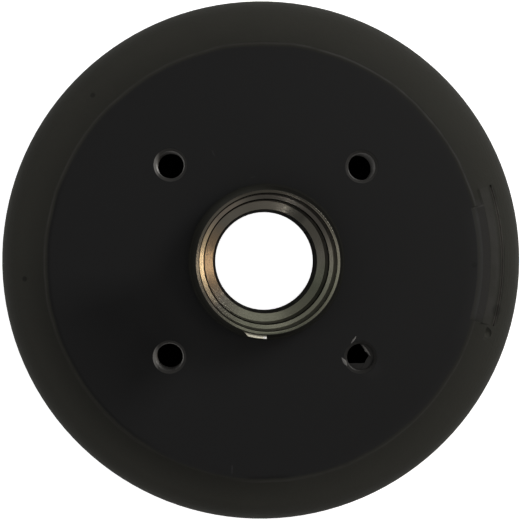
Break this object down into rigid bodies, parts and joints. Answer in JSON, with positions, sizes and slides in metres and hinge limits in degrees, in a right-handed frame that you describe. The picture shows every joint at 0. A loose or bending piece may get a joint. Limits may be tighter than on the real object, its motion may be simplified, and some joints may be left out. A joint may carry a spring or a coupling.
{
  "type": "brake drum",
  "caption": "Round brake drum with its hub cast in one, with a turned wheel face and nose, stepped bearing bores, tapped wheel bolt holes and a hollow underside for the shoes.",
  "frame": {"origin": "centre of the wheel face, on the hub's axis", "axes": "+Z along the hub's axis out of the wheel face towards the hub nose, the open side of the drum towards -Z, +X and +Y square to it, with the bolt holes at 45 degrees to both"},
  "size_m": [0.2062, 0.2062, 0.069],
  "materials": {
    "cast_black": "cast and painted black, with a turned face and a bare turned nose"
  },
  "bodies": {
    "root": {"brake_drum": "cast_black"}
  },
  "joints": []
}
